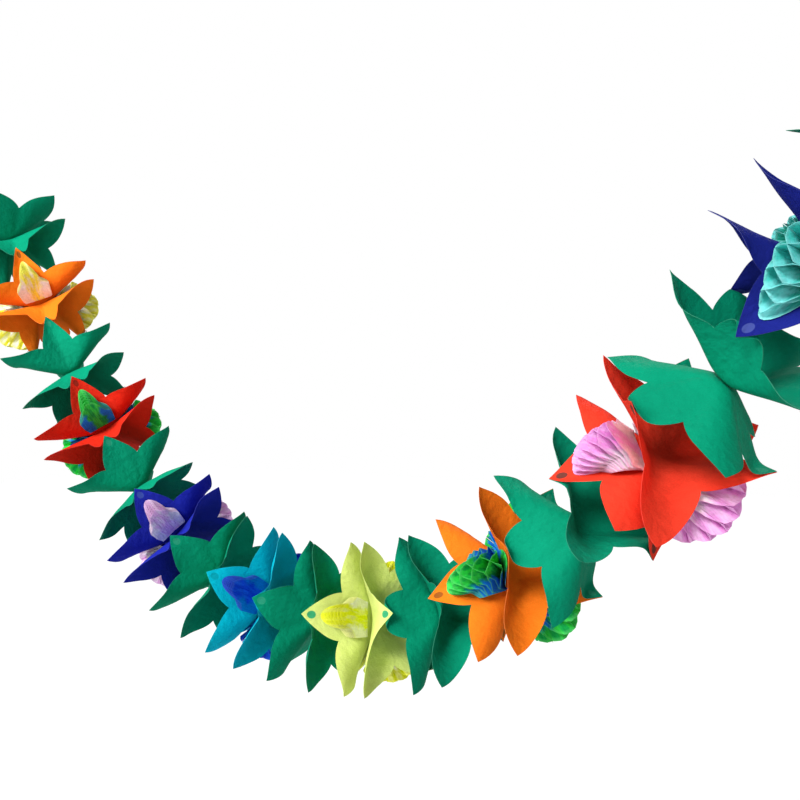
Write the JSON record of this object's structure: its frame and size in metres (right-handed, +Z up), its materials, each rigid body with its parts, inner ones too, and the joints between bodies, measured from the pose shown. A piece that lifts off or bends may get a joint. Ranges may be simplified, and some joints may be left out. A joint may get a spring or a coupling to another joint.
{
  "type": "tissue paper flower garland",
  "caption": "Hanging party garland of die-cut tissue leaves and flowers bonded in a chain, with honeycomb fans in the flowers and a punched card tab at each end.",
  "frame": {"origin": "middle of the hole in the left card tab", "axes": "+X along the span from the left tab to the right tab, +Z up, the front faces -Y"},
  "size_m": [1.0481, 0.2775, 0.5125],
  "materials": {
    "leaf": "matte",
    "petal_orange": "matte",
    "petal_red": "matte",
    "petal_indigo": "matte",
    "petal_teal": "matte",
    "petal_lime": "matte",
    "petal_coral": "matte",
    "petal_violet": "matte",
    "comb_lemon": "matte",
    "comb_green_blue": "matte",
    "comb_lilac": "matte",
    "comb_blue": "matte",
    "comb_yellow": "matte",
    "comb_pink": "matte",
    "comb_aqua": "matte",
    "card": "matte"
  },
  "bodies": {
    "root": {"leaf_1_left": "leaf", "leaf_1_right": "leaf", "flower_1_left": "petal_orange", "flower_1_right": "petal_orange", "fan_1_front": "comb_lemon", "fan_1_upper": "comb_lemon", "fan_1_lower": "comb_lemon", "leaf_2_left": "leaf", "leaf_2_right": "leaf", "flower_2_left": "petal_red", "flower_2_right": "petal_red", "fan_2_front": "comb_green_blue", "fan_2_upper": "comb_green_blue", "fan_2_lower": "comb_green_blue", "leaf_3_left": "leaf", "leaf_3_right": "leaf", "flower_3_left": "petal_indigo", "flower_3_right": "petal_indigo", "fan_3_front": "comb_lilac", "fan_3_upper": "comb_lilac", "fan_3_lower": "comb_lilac", "leaf_4_left": "leaf", "leaf_4_right": "leaf", "flower_4_left": "petal_teal", "flower_4_right": "petal_teal", "fan_4_front": "comb_blue", "fan_4_upper": "comb_blue", "fan_4_lower": "comb_blue", "leaf_5_left": "leaf", "leaf_5_right": "leaf", "flower_5_left": "petal_lime", "flower_5_right": "petal_lime", "fan_5_front": "comb_yellow", "fan_5_upper": "comb_yellow", "fan_5_lower": "comb_yellow", "leaf_6_left": "leaf", "leaf_6_right": "leaf", "flower_6_left": "petal_orange", "flower_6_right": "petal_orange", "fan_6_front": "comb_green_blue", "fan_6_upper": "comb_green_blue", "fan_6_lower": "comb_green_blue", "leaf_7_left": "leaf", "leaf_7_right": "leaf", "flower_7_left": "petal_coral", "flower_7_right": "petal_coral", "fan_7_front": "comb_pink", "fan_7_upper": "comb_pink", "fan_7_lower": "comb_pink", "leaf_8_left": "leaf", "leaf_8_right": "leaf", "flower_8_left": "petal_violet", "flower_8_right": "petal_violet", "fan_8_front": "comb_aqua", "fan_8_upper": "comb_aqua", "fan_8_lower": "comb_aqua", "leaf_9_left": "leaf", "leaf_9_right": "leaf", "tab_left": "card", "tab_right": "card"}
  },
  "joints": []
}
